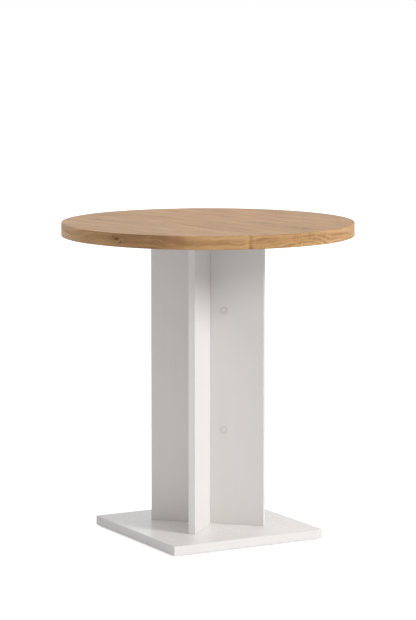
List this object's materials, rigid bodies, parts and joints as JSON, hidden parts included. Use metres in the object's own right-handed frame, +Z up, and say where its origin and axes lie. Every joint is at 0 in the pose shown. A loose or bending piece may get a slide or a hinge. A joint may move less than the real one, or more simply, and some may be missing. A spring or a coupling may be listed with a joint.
{
  "type": "round pedestal table",
  "caption": "Small round table: an oak-decor top on a cross-shaped pedestal of white panels, which stands on a square white base plate.",
  "frame": {"origin": "on the floor, under the centre of the base plate and of the round top", "axes": "+Z up; +X and +Y along the base plate's edges, with -Y towards the front edge; the cross stands on the base plate's diagonals, its right wing along (+X, -Y) and the front half of its spine along (-X, -Y)"},
  "size_m": [0.7, 0.7, 0.753],
  "materials": {
    "oak_decor": "satin decor with a printed oak grain",
    "oak_band": "satin edge band with a printed oak grain",
    "white_board": "satin white melamine on particle board",
    "white_band": "satin white edge band",
    "cap_plastic": "satin white moulded plastic",
    "glide_plastic": "matt off-white moulded plastic",
    "beech": "bare turned beech",
    "zinc": "bright zinc plate",
    "steel": "zinc-plated steel"
  },
  "bodies": {
    "table": {"tabletop_board": "oak_decor", "tabletop_edge_band": "oak_band", "spine_panel": "white_board", "spine_front_edge_band": "white_band", "spine_back_edge_band": "white_band", "left_wing_panel": "white_board", "left_wing_edge_band": "white_band", "right_wing_panel": "white_board", "right_wing_edge_band": "white_band", "base_plate": "white_board", "base_front_edge_band": "white_band", "base_right_edge_band": "white_band", "base_back_edge_band": "white_band", "base_left_edge_band": "white_band", "glide_front_left": "glide_plastic", "glide_front_right": "glide_plastic", "glide_back_left": "glide_plastic", "glide_back_right": "glide_plastic", "lower_cam_bolt": "steel", "upper_cam_bolt": "steel", "lower_wing_dowel": "beech", "upper_wing_dowel": "beech", "right_wing_base_dowel": "beech", "spine_back_base_dowel": "beech", "left_wing_base_dowel": "beech", "spine_front_base_dowel": "beech", "right_wing_base_screw": "steel", "spine_back_base_screw": "steel", "left_wing_base_screw": "steel", "spine_front_base_screw": "steel", "right_wing_bracket": "zinc", "spine_back_bracket": "zinc", "left_wing_bracket": "zinc", "spine_front_bracket": "zinc", "right_wing_top_screw_inner": "zinc", "right_wing_top_screw_outer": "zinc", "right_wing_panel_screw_inner": "zinc", "right_wing_panel_screw_outer": "zinc", "spine_back_top_screw_inner": "zinc", "spine_back_top_screw_outer": "zinc", "spine_back_panel_screw_inner": "zinc", "spine_back_panel_screw_outer": "zinc", "left_wing_top_screw_inner": "zinc", "left_wing_top_screw_outer": "zinc", "left_wing_panel_screw_inner": "zinc", "left_wing_panel_screw_outer": "zinc", "spine_front_top_screw_inner": "zinc", "spine_front_top_screw_outer": "zinc", "spine_front_panel_screw_inner": "zinc", "spine_front_panel_screw_outer": "zinc"},
    "lower_left_cam": {"lower_left_cam": "zinc"},
    "lower_left_cam_cap": {"lower_left_cam_cap": "cap_plastic"},
    "lower_right_cam": {"lower_right_cam": "zinc"},
    "lower_right_cam_cap": {"lower_right_cam_cap": "cap_plastic"},
    "upper_left_cam": {"upper_left_cam": "zinc"},
    "upper_left_cam_cap": {"upper_left_cam_cap": "cap_plastic"},
    "upper_right_cam": {"upper_right_cam": "zinc"},
    "upper_right_cam_cap": {"upper_right_cam_cap": "cap_plastic"}
  },
  "joints": [
    {"name": "lower_left_cam_turn", "type": "hinge", "parent": "table", "child": "lower_left_cam", "pos_m": [-0.02404, 0.03535, 0.253], "axis": [0.7071, 0.7071, 0], "range_deg": [0, 200]},
    {"name": "lower_left_cam_cap_pull", "type": "slide", "parent": "table", "child": "lower_left_cam_cap", "axis": [0.7071, 0.7071, 0], "range_m": [0, 0.012]},
    {"name": "lower_right_cam_turn", "type": "hinge", "parent": "table", "child": "lower_right_cam", "pos_m": [0.02404, -0.03535, 0.253], "axis": [-0.7071, -0.7071, 0], "range_deg": [0, 200]},
    {"name": "lower_right_cam_cap_pull", "type": "slide", "parent": "table", "child": "lower_right_cam_cap", "axis": [-0.7071, -0.7071, 0], "range_m": [0, 0.012]},
    {"name": "upper_left_cam_turn", "type": "hinge", "parent": "table", "child": "upper_left_cam", "pos_m": [-0.02404, 0.03535, 0.541], "axis": [0.7071, 0.7071, 0], "range_deg": [0, 200]},
    {"name": "upper_left_cam_cap_pull", "type": "slide", "parent": "table", "child": "upper_left_cam_cap", "axis": [0.7071, 0.7071, 0], "range_m": [0, 0.012]},
    {"name": "upper_right_cam_turn", "type": "hinge", "parent": "table", "child": "upper_right_cam", "pos_m": [0.02404, -0.03535, 0.541], "axis": [-0.7071, -0.7071, 0], "range_deg": [0, 200]},
    {"name": "upper_right_cam_cap_pull", "type": "slide", "parent": "table", "child": "upper_right_cam_cap", "axis": [-0.7071, -0.7071, 0], "range_m": [0, 0.012]}
  ]
}
